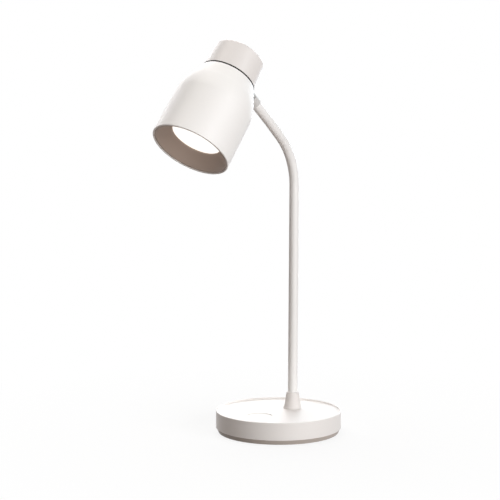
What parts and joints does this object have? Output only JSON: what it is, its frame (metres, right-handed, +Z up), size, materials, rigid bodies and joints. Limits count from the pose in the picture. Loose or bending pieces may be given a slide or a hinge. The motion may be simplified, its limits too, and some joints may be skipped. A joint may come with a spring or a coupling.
{
  "type": "desk lamp",
  "caption": "Desk lamp with a round weighted base, a bent tube and a bell-shaped head that swivels and tilts on a small fork.",
  "frame": {"origin": "on the desk, under the middle of the base's anti-slip pad", "axes": "+Z up, +X to the right seen from the front, the arm lies in the plane X = 0 and the head reaches towards -Y"},
  "size_m": [0.125, 0.2156, 0.3849],
  "materials": {
    "cover_plastic": "satin moulded ABS, warm white",
    "tray_plastic": "satin moulded ABS, grey",
    "pad_rubber": "matt",
    "ballast_steel": "zinc plated",
    "screw_steel": "zinc plated",
    "foam": "soft foam tape",
    "battery_sleeve": "shrink sleeve",
    "circuit_board": "solder mask",
    "chip_plastic": "moulded",
    "inlet_steel": "nickel plated",
    "plug_plastic": "moulded nylon",
    "electrode_copper": "bare copper foil",
    "cone_plastic": "matt moulded ABS, warm white",
    "tube_paint": "satin powder coat, warm white",
    "lead_sheath": "smooth PVC",
    "neck_paint": "satin powder coat, light grey",
    "washer_nylon": "nylon",
    "cap_plastic": "satin moulded ABS, pale warm grey",
    "seam_plastic": "matt moulded",
    "shade_plastic": "satin moulded ABS, warm white",
    "sink_aluminium": "die cast",
    "led_board_face": "white solder mask",
    "led_phosphor": "silicone phosphor",
    "reflector_plastic": "white moulded",
    "diffuser_opal": "opal sheet",
    "baffle_plastic": "matt taupe"
  },
  "bodies": {
    "base": {"base_cover": "cover_plastic", "base_tray": "tray_plastic", "antislip_pad": "pad_rubber", "ballast_plate": "ballast_steel", "base_screws": "screw_steel", "battery_foam": "foam", "battery_pack": "battery_sleeve", "control_board": "circuit_board", "board_components": "chip_plastic", "board_screws": "screw_steel", "charging_inlet": "inlet_steel", "lead_plug": "plug_plastic", "touch_electrode": "electrode_copper", "foot_cone": "cone_plastic", "tube_flange": "screw_steel", "arm_tube": "tube_paint", "tube_washer": "screw_steel", "tube_nut": "screw_steel", "arm_lead": "lead_sheath", "swivel_stud": "screw_steel"},
    "neck": {"neck_fork": "neck_paint", "neck_set_screw": "screw_steel", "tilt_screw": "screw_steel", "tilt_nut": "screw_steel", "friction_washers": "washer_nylon"},
    "head": {"head_bracket": "neck_paint", "bracket_washer": "screw_steel", "bracket_nut": "screw_steel", "rear_cap": "cap_plastic", "seam_ring": "seam_plastic", "shade": "shade_plastic", "cap_screws": "screw_steel", "heat_sink": "sink_aluminium", "plate_screws": "screw_steel", "led_board": "led_board_face", "leds": "led_phosphor", "reflector": "reflector_plastic", "diffuser": "diffuser_opal", "glare_baffle": "baffle_plastic", "head_lead": "lead_sheath"}
  },
  "joints": [
    {"name": "head_swivel", "type": "hinge", "parent": "base", "child": "neck", "pos_m": [0, -0.03442, 0.32594], "axis": [0, -0.776, 0.6307], "range_deg": [-90, 90]},
    {"name": "head_tilt", "type": "hinge", "parent": "neck", "child": "head", "pos_m": [0, -0.04295, 0.33288], "axis": [1, 0, 0], "range_deg": [-50, 45]}
  ]
}
